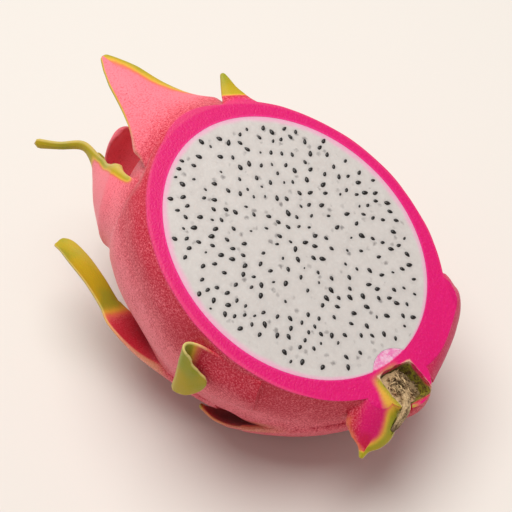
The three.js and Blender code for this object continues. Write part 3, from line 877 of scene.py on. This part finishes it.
class Board:
    """One material's node tree."""

    def __init__(self, name):
        self.material = bpy.data.materials.new(name)
        self.material.use_nodes = True
        self.tree = self.material.node_tree
        self.tree.nodes.clear()

    def node(self, kind, settings=None, inputs=None, output=0):
        """Makes a node, sets it, then feeds its sockets with values or links."""
        made = self.tree.nodes.new(kind)
        for name, value in (settings or {}).items():
            setattr(made, name, value)
        for name, value in (inputs or {}).items():
            if isinstance(value, Wire):
                self.tree.links.new(value.socket, made.inputs[name])
            else:
                made.inputs[name].default_value = value
        return Wire(self, made.outputs[output]) if made.outputs else made

    def sum_of(self, operation, first, second=0.0):
        return self.node("ShaderNodeMath", {"operation": operation}, {0: first, 1: second})

    def largest(self, first, second):
        return self.sum_of("MAXIMUM", first, second)

    def ease(self, value, low, high):
        """0 below low, 1 above high, and a smooth step between."""
        settings = {"interpolation_type": "SMOOTHSTEP"}
        return self.node("ShaderNodeMapRange", settings, {0: value, 1: low, 2: high, 3: 0.0, 4: 1.0})

    def blend(self, share, first, second):
        """A colour between two."""
        inputs = {0: share, 6: as_colour(first), 7: as_colour(second)}
        return self.node("ShaderNodeMix", {"data_type": "RGBA"}, inputs, 2)

    def attribute(self, name):
        return self.node("ShaderNodeAttribute", {"attribute_name": name}, None, 2)

    def vector(self, operation, first, second=(0, 0, 0), scale=1.0):
        made = {0: first, 1: second}
        if operation == "SCALE":
            made = {0: first, 3: scale}
        output = 1 if operation in ("DOT_PRODUCT", "LENGTH") else 0
        return self.node("ShaderNodeVectorMath", {"operation": operation}, made, output)

    def place(self):
        """The point in mm from the fruit's middle, along the row's axes."""
        point = self.node("ShaderNodeTexCoord", None, None, 3)
        scaled = self.vector("SCALE", point, scale=1 / MM)
        return self.vector("SUBTRACT", scaled, tuple(BODY_CENTRE))

    def along(self, point, direction):
        return self.vector("DOT_PRODUCT", point, tuple(direction))

    def noise(self, point, size_mm, detail=2.0, roughness=0.5):
        inputs = {"Vector": point, "Scale": 1 / size_mm, "Detail": detail, "Roughness": roughness}
        return self.node("ShaderNodeTexNoise", None, inputs)

    def bump(self, height, depth_mm, strength=1.0, normal=None):
        inputs = {"Height": height, "Distance": depth_mm * MM, "Strength": strength}
        if normal:
            inputs["Normal"] = normal
        return self.node("ShaderNodeBump", None, inputs)

    def finish(self, surface):
        shader = self.node("ShaderNodeBsdfPrincipled", None, surface)
        self.node("ShaderNodeOutputMaterial", None, {0: shader})
        return self.material


def as_colour(value):
    return value if isinstance(value, Wire) else (*value, 1)


def plane_up(size):
    """The knife plane's upward direction in the row's frame."""
    return cut_axes(size)[2] @ FRUIT_AXES


def egg_gap(board, point, length, radius):
    """How far a point is from an egg round the axis, outward, in mm."""
    along = board.along(point, TO_CROWN)
    side = board.along(point, TO_VIEWER)
    up = board.along(point, TO_TOP)
    reach = board.sum_of("SQRT", side * side + up * up)
    share = along / length
    skin = board.sum_of("SQRT", board.largest(1 - share * share, 0)) * (1 - share * STEM_FULLNESS) * radius
    return reach - skin


def pit_share(board, point, size):
    """0 in the middle of the pit and 1 at its mouth's edge, on the knife's plane."""
    middle = pit_frame(np.zeros((1, 3)), size)[0] @ FRUIT_AXES
    axes = np.array([[1, 0, 0], [0, 1, 0]]) @ np.array(Matrix.Rotation(PIT_TURN, 3, "Z")).T
    ways = axes @ cut_axes(size) @ FRUIT_AXES
    from_middle = board.vector("SUBTRACT", point, tuple(middle))
    first = board.sum_of("ABSOLUTE", board.along(from_middle, ways[0])) / PIT_HALVES[0]
    second = board.sum_of("ABSOLUTE", board.along(from_middle, ways[1])) / PIT_HALVES[1]
    return first + second


def pit_left(size):
    """The pit's side by the lobe: the way out to it and its start, then the way down it and its start."""
    corners = pit_frame(np.array([[PIT_HALVES[0], 0, 0], [0, PIT_HALVES[1], 0]]), size)
    middle = pit_frame(np.zeros((1, 3)), size)[0]
    way = unit(corners.mean(0) - middle) @ FRUIT_AXES
    down = unit(corners[1] - corners[0]) @ FRUIT_AXES
    return way, float((middle @ FRUIT_AXES) @ way), down, float((corners[0] @ FRUIT_AXES) @ down)


def skin_tone(board, colours, point, over, broad, middling, grain):
    """Coral to crimson skin, redder by the knife, flushed and deep red where marked, with painted shade as
    redder, darker skin on the underside and painted light as paler skin at the crown.
    """
    # Painted light: toward the crown the skin is made paler coral, as if lit, and the knife's red fades there
    crown = board.ease(board.along(point, TO_CROWN), 34.0, 50.0)
    near_rim = board.ease(over + broad * 8.0, -15.0, 0.0) * (1 - crown * 0.7)
    # Painted shade: the lower part of the skin is made redder and darker, as if in shade
    under = 1 - board.ease(board.along(point, (0, 0, 1)), -34.0, 0.0)
    redness = near_rim * 0.5 + under * 0.5 + broad * 0.5 + middling * 0.2 + (grain - 0.5) * 1.8 - crown * 0.3
    skin = board.blend(board.ease(redness, 0.0, 1.15), colours.coral, colours.crimson)
    skin = board.blend(board.attribute("flush") * 0.85, skin, colours.rim)
    inner_face = board.attribute("deep") * (1 - board.ease(board.attribute("green"), 0.0, 0.5))
    return board.blend(inner_face * 0.85, skin, colours.deep)


def bract_tone(board, colours, point, skin, broad, middling):
    """The skin as it turns orange, yellow and green toward a bract's tip and edges, with the edges dry."""
    turned = board.attribute("green") + (middling - 0.5) * 0.16 + (broad - 0.5) * 0.2
    turned = board.ease(turned, 0.02, 0.98)
    tip = board.blend(board.ease(board.noise(point, 10.0, 1.0), 0.3, 0.6), colours.green, colours.ochre)
    for start, full, tone in ((0.02, 0.35, colours.orange), (0.25, 0.6, colours.yellow), (0.5, 0.95, tip)):
        skin = board.blend(board.ease(turned, start, full), skin, tone)
    return board.blend(board.attribute("dry") * 0.75, skin, colours.cream)


def rim_tone(board, size, colours, point, outer_gap, wet_grain):
    """The cut rind: magenta, with a paler line by the flesh and watery tissue where the flesh ends."""
    from_flesh = egg_gap(board, point, size["flesh_length"], size["flesh_radius"])
    inner_line = 1 - board.ease(from_flesh, 0.25, 0.9)
    rim = board.blend(board.ease(wet_grain, 0.45, 0.75) * 0.28, colours.rim, colours.pale_rim_and_edge_highlight)
    rim = board.blend(inner_line * 0.45, rim, colours.pale_rim_and_edge_highlight)
    outer_band = board.ease(outer_gap, -1.0, -0.3) * board.ease(board.along(point, TO_CROWN), -42.0, -34.0)
    rim = board.blend(outer_band * 0.15, rim, colours.coral)
    veins = board.ease(board.noise(point, 1.6, 4.0, 0.7), 0.35, 0.65)
    tissue = board.blend(veins, colours.tissue, colours.tissue_white)
    watery = 1 - board.ease(from_flesh + (wet_grain - 0.5) * 1.5, -1.2, 0.2)
    return board.blend(watery * 0.95, rim, tissue)


def lip_tone(board, size, colours, point, rim, middling, wet_grain):
    """The rim as it turns green on the pit's side by the lobe, and dry along the pit's edge."""
    lip = pit_share(board, point, size)
    way, start, down_way, down_start = pit_left(size)
    beside = board.along(point, way) - start
    down = board.along(point, down_way) - down_start
    wider = board.ease(down, -1.0, 9.0) * 0.55
    patch = 1 - board.ease(lip + (middling - 0.5) * 0.3 - wider, 1.15, 1.7)
    patch = patch * board.ease(beside, -1.5, 2.5) * board.ease(down, -2.0, 1.5)
    living = board.blend(board.ease(lip, 1.1, 1.5), colours.green, colours.yellow)
    rim = board.blend(patch * 0.95, rim, living)
    dried = 1 - board.ease(lip + (wet_grain - 0.5) * 0.12, 1.05, 1.16)
    return board.blend(dried * 0.9, rim, colours.lip)


def pit_tone(board, size, colours, point, over, colour):
    """The pit's ribbed wall with painted shade between its ribs, on top of the colours round it."""
    in_pit = (1 - board.ease(pit_share(board, point, size), 1.0, 1.08)) * board.ease(over, -9.0, -7.5)
    ribs = board.noise(point, 0.9, 3.0, 0.7)
    # The dark between the ribs is painted shade
    wall = board.blend(board.ease(ribs, 0.4, 0.62), colours.dark_fibre_and_crevice_shade, colours.moss)
    wall = board.blend(board.ease(over, -1.0, -0.1), wall, colours.lip)
    return board.blend(in_pit, colour, wall)


def skin_material(size, colours):
    """Velvety skin, green-tipped bracts and the magenta rim of the cut, told apart by where a point is."""
    board = Board("dragon_fruit_skin")
    point = board.place()
    over = board.along(point, plane_up(size)) - size["cut_height"]
    cut = board.ease(over, -0.14, -0.03)
    outer_gap = egg_gap(board, point, size["half_length"], size["girth"])
    broad = board.noise(point, 14.0, 3.0)
    middling = board.noise(point, 3.0, 2.0)
    grain = board.noise(point, 0.45, 1.0, 0.6)
    wet_grain = board.noise(point, 0.55, 2.0, 0.6)

    skin = skin_tone(board, colours, point, over, broad, middling, grain)
    skin = bract_tone(board, colours, point, skin, broad, middling)
    # Painted highlight: a pale band on the skin just under the knife's edge, standing in for light on a
    # rounded edge
    knife_edge_highlight = board.ease(over, -0.55, -0.16) * (1 - cut) * board.ease(outer_gap, -2.0, -0.5)
    knife_edge_highlight = knife_edge_highlight * board.ease(board.along(point, TO_CROWN), -38.0, -32.0)
    skin = board.blend(knife_edge_highlight * 0.35, skin, colours.pale_rim_and_edge_highlight)
    rim = rim_tone(board, size, colours, point, outer_gap, wet_grain)
    rim = lip_tone(board, size, colours, point, rim, middling, wet_grain)
    colour = pit_tone(board, size, colours, point, over, board.blend(cut, skin, rim))

    normal = board.bump(grain * 0.6 + middling * 0.4, 0.2, 0.9)
    return board.finish({
        "Base Color": colour,
        "Roughness": 0.52 + (grain - 0.5) * 0.2 - cut * 0.14,
        "Normal": board.bump(wet_grain * cut, 0.16, 0.8, normal),
        "Specular IOR Level": 0.28,
        "Sheen Weight": 0.16,
        "Sheen Roughness": 0.4,
        "Sheen Tint": (1.0, 0.75, 0.78, 1.0),
        "Subsurface Weight": 0.12,
        "Subsurface Radius": (1.0, 0.25, 0.2),
        "Subsurface Scale": 1.6 * MM,
    })


def flesh_material(size, colours):
    """Moist, faintly cloudy flesh with a pink edge, painted soft shadows round the seeds and grey ones sunk
    in it.
    """
    board = Board("dragon_fruit_flesh")
    point = board.place()
    painted_seed_shadow = board.attribute("painted_seed_shadow")
    cloud = board.noise(point, 5.0, 3.0)
    fine = board.noise(point, 0.9, 3.0, 0.6)
    depth = egg_gap(board, point, size["flesh_length"], size["flesh_radius"])
    white = board.blend(board.ease(cloud, 0.35, 0.7) * 0.35, colours.flesh, linear(191, 186, 184))
    white = board.blend(board.ease(fine, 0.4, 0.75) * 0.18, white, linear(230, 227, 225))
    blushed = board.blend(board.ease(depth + (cloud - 0.5) * 1.2, -1.9, -0.1) * 0.75, white, colours.blush)

    cells = {"feature": "F1", "distance": "EUCLIDEAN"}
    drift = board.node("ShaderNodeTexNoise", None, {"Vector": point, "Scale": 1.1}, 1)
    spread = {"Vector": board.vector("ADD", point, drift), "Scale": 1 / 2.9, "Randomness": 1.0}
    spots = board.node("ShaderNodeTexVoronoi", cells, spread)
    kinds = board.node("ShaderNodeTexVoronoi", cells, spread, 1)
    kind = board.node("ShaderNodeSeparateColor", None, {0: kinds})
    faint = board.ease(kind, 0.2, 0.8)
    sunk = (1 - board.ease(spots + (fine - 0.5) * 0.24, 0.05, 0.33)) * faint * board.ease(0 - depth, 2.0, 3.4)
    # The grey of seeds sunk in the flesh, and painted shadow round each seed on the cut face
    shadow = board.largest(sunk * 0.7, painted_seed_shadow * 0.1)
    colour = board.blend(shadow, blushed, linear(96, 92, 94))
    return board.finish({
        "Base Color": colour,
        "Roughness": 0.34 + (fine - 0.5) * 0.16,
        "Normal": board.bump(fine * 0.6 + cloud * 0.6, 0.14, 0.7),
        "Subsurface Weight": 0.35,
        "Subsurface Radius": (1.0, 0.85, 0.8),
        "Subsurface Scale": 2.2 * MM,
        "Specular IOR Level": 0.45,
    })


def seed_material(colours):
    board = Board("dragon_fruit_seed_coat")
    point = board.place()
    pits = board.noise(point, 0.25, 2.0)
    worn = board.noise(point, 2.2, 1.0)
    colour = board.blend(board.ease(worn, 0.5, 0.8) * 0.5, colours.seed, linear(52, 44, 44))
    return board.finish({
        "Base Color": colour,
        "Roughness": 0.24 + pits * 0.18,
        "Normal": board.bump(pits, 0.03, 0.5),
    })


def wood_material(size, colours):
    board = Board("dragon_fruit_stalk_fibre")
    point = board.place()
    over = board.along(point, plane_up(size)) - size["cut_height"]
    tone = board.attribute("tone")
    strands = board.noise(point, 0.5, 3.0, 0.7)
    patches = board.noise(point, 2.5, 2.0)
    # Dark fibre, with painted shade between the strands
    colour = board.blend(board.ease(strands + tone * 0.4, 0.4, 0.9), colours.dark_fibre_and_crevice_shade, colours.wood)
    colour = board.blend(board.ease(patches, 0.55, 0.8) * 0.25, colour, colours.moss)
    # Painted shade: the wood deep in the pit is darkened, as if in shade
    deep_pit_shade = (1 - board.ease(over, -3.4, -1.6)) * board.ease(over, -7.0, -6.0)
    colour = board.blend(deep_pit_shade * 0.6, colour, colours.dark_fibre_and_crevice_shade)
    return board.finish({
        "Base Color": colour,
        "Roughness": 0.78 + strands * 0.15,
        "Normal": board.bump(strands, 0.25, 0.9),
    })


def floor_material(colour):
    board = Board("studio_floor")
    point = board.place()
    grain = board.noise(point, 1.5, 2.0)
    tint = board.blend(grain * 0.04, colour, linear(225, 215, 206))
    return board.finish({"Base Color": tint, "Roughness": 0.85})


# Seeds


def draws(state):
    """Repeatable draws between 0 and 1."""
    word = 0xFFFFFFFF
    while True:
        state = (state + 0x6D2B79F5) & word
        mixed = ((state ^ (state >> 15)) * (1 | state)) & word
        mixed = ((mixed + (((mixed ^ (mixed >> 7)) * (61 | mixed)) & word)) & word) ^ mixed
        yield (mixed ^ (mixed >> 14)) / 4294967296


def cut_face(size):
    """The middle and the two half axes of the flesh's cut face."""
    names = ("flesh_length", "flesh_radius", "cut_height", "cut_lean")
    length, radius, height, lean = (size[name] for name in names)
    reach = (length * math.sin(lean)) ** 2 + (radius * math.cos(lean)) ** 2
    middle = np.array([
        -height * length**2 * math.sin(lean) / reach, 0, height * radius**2 * math.cos(lean) / reach,
    ])
    lengthways = length * radius * math.sqrt(reach - height**2) / reach
    return middle, lengthways, radius * math.sqrt(1 - height**2 / reach)


def seed_places(size, count):
    """Where each seed lies on the cut face, and how it is turned, by the same draws as in the solids."""
    middle, lengthways, sideways = cut_face(size)
    axes = cut_axes(size)
    reach_of_heart = np.array(HEART_RADII) + SEEDLESS_MARGIN
    random_draw = draws(SEED_OF_DRAWS)
    placed = []
    while len(placed) < count:
        reach = math.sqrt(next(random_draw))
        turn = next(random_draw) * 2 * math.pi
        swing = (next(random_draw) - 0.5) * SEED_SWING
        x = reach * math.cos(turn) * (lengthways - SEEDLESS_MARGIN)
        y = reach * math.sin(turn) * (sideways - SEEDLESS_MARGIN)
        spot = np.array([x, y, 0]) @ axes + middle
        if np.linalg.norm((spot - HEART_CENTRE) / reach_of_heart) < 1:
            continue
        if any(math.hypot(x - other[0], y - other[1]) < SEED_SPACING for other in placed):
            continue
        placed.append((x, y, math.atan2(y, x) + swing))
    return placed


def seed_rings(length, width, height):
    """A teardrop lying along x, with its point forward."""
    share = np.arange(1, 9) / 9
    fullness = np.sin(np.pi * share**0.8) ** 0.72
    turn = full_turn(12)
    return np.stack([
        (share - 0.5)[:, None] * length + 0 * turn,
        fullness[:, None] * np.cos(turn) * width / 2,
        fullness[:, None] * np.sin(turn) * height / 2,
    ], -1)


def join_meshes(name, meshes):
    shape = bmesh.new()
    for mesh in meshes:
        shape.from_mesh(mesh)
        bpy.data.meshes.remove(mesh)
    joined = bpy.data.meshes.new(name)
    shape.to_mesh(joined)
    shape.free()
    return joined


def build_rind(size, colours):
    body, blades, samples = body_and_blades(size)
    collar = scoop("collar", COLLAR_CENTRE, COLLAR_RADII)
    carve(body, "UNION", [*blades, collar])
    carve(body, "DIFFERENCE", [over_the_cut(size), under_the_floor()])
    keep_main_body(body.data)
    cavity = egg("cavity", size["flesh_length"] + HAIRLINE, size["flesh_radius"] + HAIRLINE, *CAVITY_STEPS)
    carve(cavity, "DIFFERENCE", [scoop("heart", HEART_CENTRE, HEART_RADII)])
    room = [[*row[:3], row[3] + TAIL_ROOM, row[4] + 2 * TAIL_ROOM, 0] for row in TAIL]
    first, rings, last, _ = blade("channel", room, STEM_FACE, rings=24, across=10, wave=0)
    channel = place("channel", closed_mesh("channel", first, rings, last))
    carve(body, "DIFFERENCE", [cavity, four_cornered("pit", size, PIT_DEPTH), channel])
    keep_main_body(body.data)
    paint_bracts(body.data, samples)
    shade(body, skin_material(size, colours), 32)
    return body


def on_flesh_egg(size, start, way):
    """How far along each way from a start the flesh's egg is reached."""
    low = np.zeros(way.shape[:-1])
    high = np.full(way.shape[:-1], FAR)
    for _ in range(40):
        middle = (low + high) / 2
        points = start + way * middle[..., None]
        reach = np.hypot(points[..., 1], points[..., 2])
        inside = (np.abs(points[..., 0]) < size["flesh_length"]) & (
            reach < girth_at(points[..., 0], size["flesh_length"], size["flesh_radius"])
        )
        low = np.where(inside, middle, low)
        high = np.where(inside, high, middle)
    return low


def build_flesh(size, colours, seeds):
    """The flesh: a fine flat cut face, and under it the egg down to the cavity's floor."""
    middle, _, _ = cut_face(size)
    axes = cut_axes(size)
    turn = full_turn(FLESH_AROUND)
    outward = np.cos(turn)[:, None] * axes[0] + np.sin(turn)[:, None] * axes[1]
    reach = on_flesh_egg(size, middle, outward)
    shares = np.arange(1, FACE_STEPS + 1) / FACE_STEPS
    face_rings = middle + shares[:, None, None] * (outward * reach[:, None])[None]
    centre = middle - FLESH_CORE_DEPTH * axes[2]
    to_edge = unit(face_rings[-1] - centre)
    below = []
    for share in np.linspace(0, 1, FLESH_STEPS + 1)[1:-1]:
        way = unit(to_edge * math.cos(share * math.pi / 2) - axes[2] * math.sin(share * math.pi / 2))
        below.append(centre + way * on_flesh_egg(size, centre, way)[:, None])
    lowest = centre - axes[2] * on_flesh_egg(size, centre, -axes[2][None])[0]
    mesh = closed_mesh("dragon_fruit_flesh", middle, np.concatenate([face_rings, below]), lowest)
    flesh = place("dragon_fruit_flesh", mesh)
    carve(flesh, "DIFFERENCE", [scoop("heart", HEART_CENTRE, np.array(HEART_RADII) + HAIRLINE)])
    keep_main_body(flesh.data)
    tree = kdtree.KDTree(len(seeds))
    for index, (x, y, _) in enumerate(seeds):
        tree.insert((x, y, 0), index)
    tree.balance()
    local = to_fruit(mesh_vectors(flesh.data, "co"))
    flat = (local - middle) @ axes.T
    # Painted shadow: nearness to a seed on the cut face, which darkens the flesh round the seeds
    painted_seed_shadow = []
    for x, y, height in flat:
        near = tree.find((x, y, 0))[2] if height > -0.1 else SEED_SPACING
        painted_seed_shadow.append(1 - smooth_step(0.5 * SEED_WIDTH, 1.3 * SEED_LENGTH / 2 + 0.5, near))
    write_attribute(flesh.data, "painted_seed_shadow", painted_seed_shadow)
    shade(flesh, flesh_material(size, colours))
    return flesh


def build_seeds(size, colours, seeds):
    """Glossy teardrops, each sunk a little differently into the cut face."""
    middle, _, _ = cut_face(size)
    axes = cut_axes(size)
    chance = random.Random(SEED_OF_DRAWS)
    meshes = []
    for x, y, turn in seeds:
        scale = chance.uniform(0.82, 1.14)
        lift = chance.uniform(-0.22, 0.08)
        width = SEED_WIDTH * scale * chance.uniform(0.85, 1.05)
        rings = seed_rings(SEED_LENGTH * scale, width, SEED_HEIGHT * scale)
        spin = np.array(Matrix.Rotation(turn, 3, "Z")).T
        height = SEED_PROUD - SEED_HEIGHT / 2 + lift
        half = np.array([SEED_LENGTH * scale / 2, 0, 0])
        laid = [(points @ spin + (x, y, height)) @ axes + middle for points in (-half, rings, half)]
        meshes.append(closed_mesh("seed", *laid))
    seeds_piece = place("dragon_fruit_seeds", join_meshes("dragon_fruit_seeds", meshes))
    shade(seeds_piece, seed_material(colours), 80)
    return seeds_piece


def strand(points, radius):
    """A thin closed fibre along a few points, tapering to both ends."""
    route = [centripetal(points, t) for t in np.linspace(0, 1, 12)]
    turn = full_turn(6)
    rings = []
    for index in range(1, 11):
        forward = unit(route[index + 1] - route[index - 1])
        first = unit(np.cross(forward, (0.3, 0.5, 0.8)))
        second = np.cross(forward, first)
        girth = radius * (0.35 + 0.65 * math.sin(math.pi * index / 11))
        rings.append(route[index] + girth * (np.cos(turn)[:, None] * first + np.sin(turn)[:, None] * second))
    return closed_mesh("strand", route[0], rings, route[-1])


def sunk_strand(points, size, radius):
    """A fibre given in the pit's frame, let down with the wood that it lies on."""
    route = pit_frame(np.array(points), size)
    sag = wood_sag(to_frame(route) / MM, size).max()
    return strand(list(route - cut_axes(size)[2] * sag), radius)


def wood_sag(points, size):
    """How far the wood has shrunk down, in mm, toward the pit's side that is away from the lobe."""
    way, middle = pit_left(size)[:2]
    beside = (points - BODY_CENTRE) @ way - middle
    over = (points - BODY_CENTRE) @ plane_up(size) - size["cut_height"]
    return 2.8 * smooth_step(0.5, -4.0, beside) * smooth_step(-PIT_DEPTH + 1, -WOOD_SINK - 0.5, over)


def lumpy_wood(size):
    """The wood on the pit's floor, knobbly, and shrunk down on one side."""
    base = four_cornered("wood", size, PIT_DEPTH - WOOD_GAP, WOOD_GAP, top=-WOOD_SINK)
    points = mesh_vectors(base.data, "co")
    lumps = np.array([noise.fractal(Vector(point) * 420, 1.0, 2.0, 3) for point in points])
    sag = wood_sag(points / MM, size)
    points = points + mesh_vectors(base.data, "normal") * (lumps * 0.35 * MM)[:, None]
    set_points(base.data, points - plane_up(size) * sag[:, None] * MM)
    mesh = base.data.copy()
    bpy.data.objects.remove(base)
    return mesh


def standing_fibre(chance, size):
    """A fibre that stands up from the wood and leans outward."""
    turn = chance.uniform(0, 2 * math.pi)
    reach = math.sqrt(chance.random()) * 0.75
    root = np.array([reach * 5.6 * math.cos(turn), reach * 4.8 * math.sin(turn), -WOOD_SINK - 1.2])
    rise = chance.uniform(1.4, 3.4)
    lean = chance.uniform(0.1, 0.7)
    top = root + (lean * math.cos(turn) * 2, lean * math.sin(turn) * 2, rise)
    bend = (root + top) / 2 + [chance.uniform(-0.5, 0.5) for _ in range(3)]
    return sunk_strand([root, bend, top], size, chance.uniform(0.12, 0.28))


def tail_fibre(chance):
    """A fibre that runs along the tail."""
    route = around_axis(*np.array(TAIL, float)[:, :3].T)
    start = chance.randrange(2)
    end = len(route) - chance.randrange(2)
    jitter = [[chance.uniform(-0.8, 0.8) for _ in range(3)] for _ in route[start:end]]
    return strand(list(route[start:end] + np.array(jitter)), chance.uniform(0.12, 0.26))


def lying_fibre(chance, size):
    """A fibre that lies across the wood."""
    turn = chance.uniform(0, 2 * math.pi)
    reach = math.sqrt(chance.random()) * 3.4
    root = np.array([reach * math.cos(turn), reach * math.sin(turn), chance.uniform(-1.9, -1.2) - 0.3])
    heading = chance.uniform(0, 2 * math.pi)
    half = chance.uniform(0.8, 1.9) * np.array([math.cos(heading), math.sin(heading), 0])
    bend = root + [chance.uniform(-0.7, 0.7), chance.uniform(-0.7, 0.7), chance.uniform(0.2, 1.0)]
    return sunk_strand([root - half, bend, root + half], size, chance.uniform(0.14, 0.3))


def build_stem_scar(size, colours, fibre_count):
    """The torn stalk: wood on the pit's floor, loose fibres, and the tail that hangs out."""
    chance = random.Random(SEED_OF_DRAWS + 1)
    first, rings, last, _ = blade("tail", TAIL, STEM_FACE, rings=24, across=10)
    meshes = [lumpy_wood(size), closed_mesh("tail", first, rings, last)]
    meshes += [standing_fibre(chance, size) for _ in range(fibre_count)]
    meshes += [tail_fibre(chance) for _ in range(fibre_count // 2)]
    meshes += [lying_fibre(chance, size) for _ in range(fibre_count)]
    tones = []
    for mesh in meshes:
        tones += [chance.random()] * len(mesh.vertices)
    scar = place("dragon_fruit_stem_scar", join_meshes("dragon_fruit_stem_scar", meshes))
    write_attribute(scar.data, "tone", tones)
    shade(scar, wood_material(size, colours), 60)
    return scar


# The operators, one for each piece and one for the stage


class FRUIT_OT_rind(bpy.types.Operator):
    """Build the rind with its bracts, cut open"""

    bl_idname = "fruit.rind"
    bl_label = "Rind"

    def execute(self, context):
        rind = build_rind(sizes(), context.scene.fruit_colours)
        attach(rind, "root")
        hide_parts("rind")
        return {"FINISHED"}


class FRUIT_OT_flesh(bpy.types.Operator):
    """Build the flesh and the seeds that lie in its cut face"""

    bl_idname = "fruit.flesh"
    bl_label = "Flesh and seeds"

    def execute(self, context):
        scene = context.scene
        size = sizes()
        seeds = seed_places(size, scene.fruit_sizes.seed_count)
        flesh = build_flesh(size, scene.fruit_colours, seeds)
        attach(flesh, "root")
        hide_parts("flesh")
        seeds_piece = build_seeds(size, scene.fruit_colours, seeds)
        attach(seeds_piece, "root")
        return {"FINISHED"}


class FRUIT_OT_stem_scar(bpy.types.Operator):
    """Build the torn, woody scar of the stalk"""

    bl_idname = "fruit.stem_scar"
    bl_label = "Stem scar"

    def execute(self, context):
        scene = context.scene
        scar = build_stem_scar(sizes(), scene.fruit_colours, scene.fruit_sizes.fibre_count)
        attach(scar, "root")
        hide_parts("stem_scar")
        return {"FINISHED"}


class FRUIT_OT_stage(bpy.types.Operator):
    """Lay the floor and set up the lights and the camera"""

    bl_idname = "fruit.stage"
    bl_label = "Floor, lights and camera"

    def execute(self, context):
        settings = context.scene.fruit_stage
        lay_floor(settings)
        light_stage(settings)
        set_camera(settings)
        return {"FINISHED"}


def lay_floor(settings):
    half = settings.floor_size / 2
    mesh = bpy.data.meshes.new("floor")
    corners = [(-half, -half, 0), (half, -half, 0), (half, half, 0), (-half, half, 0)]
    mesh.from_pydata(corners, [], [(0, 1, 2, 3)])
    mesh.materials.append(floor_material(settings.floor))
    place("floor", mesh)


def light_stage(settings):
    """A large soft light overhead, and an even light all round."""
    scene = bpy.context.scene
    middle = (CAD_BOX[0] + CAD_BOX[1]) / 2
    lamp = bpy.data.lights.new("key", "AREA")
    lamp.shape = "DISK"
    lamp.size = KEY_SIZE
    lamp.energy = settings.key_power
    lamp.color = (1.0, 0.97, 0.93)
    key = bpy.data.objects.new("key", lamp)
    way = Vector(KEY_WAY).normalized()
    key.location = middle + way * KEY_DISTANCE
    key.rotation_euler = way.to_track_quat("Z", "Y").to_euler()
    scene.collection.objects.link(key)
    world = bpy.data.worlds.new("studio")
    world.use_nodes = True
    background = world.node_tree.nodes["Background"]
    background.inputs["Color"].default_value = (*linear(255, 246, 238), 1)
    background.inputs["Strength"].default_value = settings.ambient
    scene.world = world
    scene.view_settings.view_transform = "Standard"


def set_camera(settings):
    scene = bpy.context.scene
    data = bpy.data.cameras.new("camera")
    data.sensor_width = 36
    data.lens = 18 / math.tan(settings.view_angle / 2)
    camera = bpy.data.objects.new("camera", data)
    back = Vector((
        math.sin(settings.azimuth) * math.cos(settings.elevation),
        -math.cos(settings.azimuth) * math.cos(settings.elevation),
        math.sin(settings.elevation),
    ))
    camera.location = Vector(LOOK_AT * MM) + back * settings.distance
    camera.rotation_euler = back.to_track_quat("Z", "Y").to_euler()
    data.clip_start = 0.01
    data.clip_end = 20
    scene.collection.objects.link(camera)
    scene.camera = camera


class FRUIT_PT_build(bpy.types.Panel):
    """Lists the fruit's pieces, sizes and colours"""

    bl_label = "Dragon Fruit"
    bl_idname = "FRUIT_PT_build"
    bl_space_type = "VIEW_3D"
    bl_region_type = "UI"
    bl_category = "Fruit"

    def draw(self, context):
        layout = self.layout
        for operator in PIECE_OPERATORS:
            layout.operator(operator.bl_idname)
        for group in (context.scene.fruit_sizes, context.scene.fruit_colours, context.scene.fruit_stage):
            column = layout.column()
            for name in group.__annotations__:
                column.prop(group, name)


PIECE_OPERATORS = (FRUIT_OT_stage, FRUIT_OT_rind, FRUIT_OT_flesh, FRUIT_OT_stem_scar)
CLASSES = (FruitSizes, FruitColours, StageSettings, *PIECE_OPERATORS, FRUIT_PT_build)


def register():
    for cls in CLASSES:
        bpy.utils.register_class(cls)
    bpy.types.Scene.fruit_sizes = PointerProperty(type=FruitSizes)
    bpy.types.Scene.fruit_colours = PointerProperty(type=FruitColours)
    bpy.types.Scene.fruit_stage = PointerProperty(type=StageSettings)


def unregister():
    del bpy.types.Scene.fruit_sizes
    del bpy.types.Scene.fruit_colours
    del bpy.types.Scene.fruit_stage
    for cls in reversed(CLASSES):
        bpy.utils.unregister_class(cls)


def main():
    register()
    bpy.ops.fruit.stage()
    bpy.ops.fruit.rind()
    bpy.ops.fruit.flesh()
    bpy.ops.fruit.stem_scar()


if __name__ == "__main__":
    main()
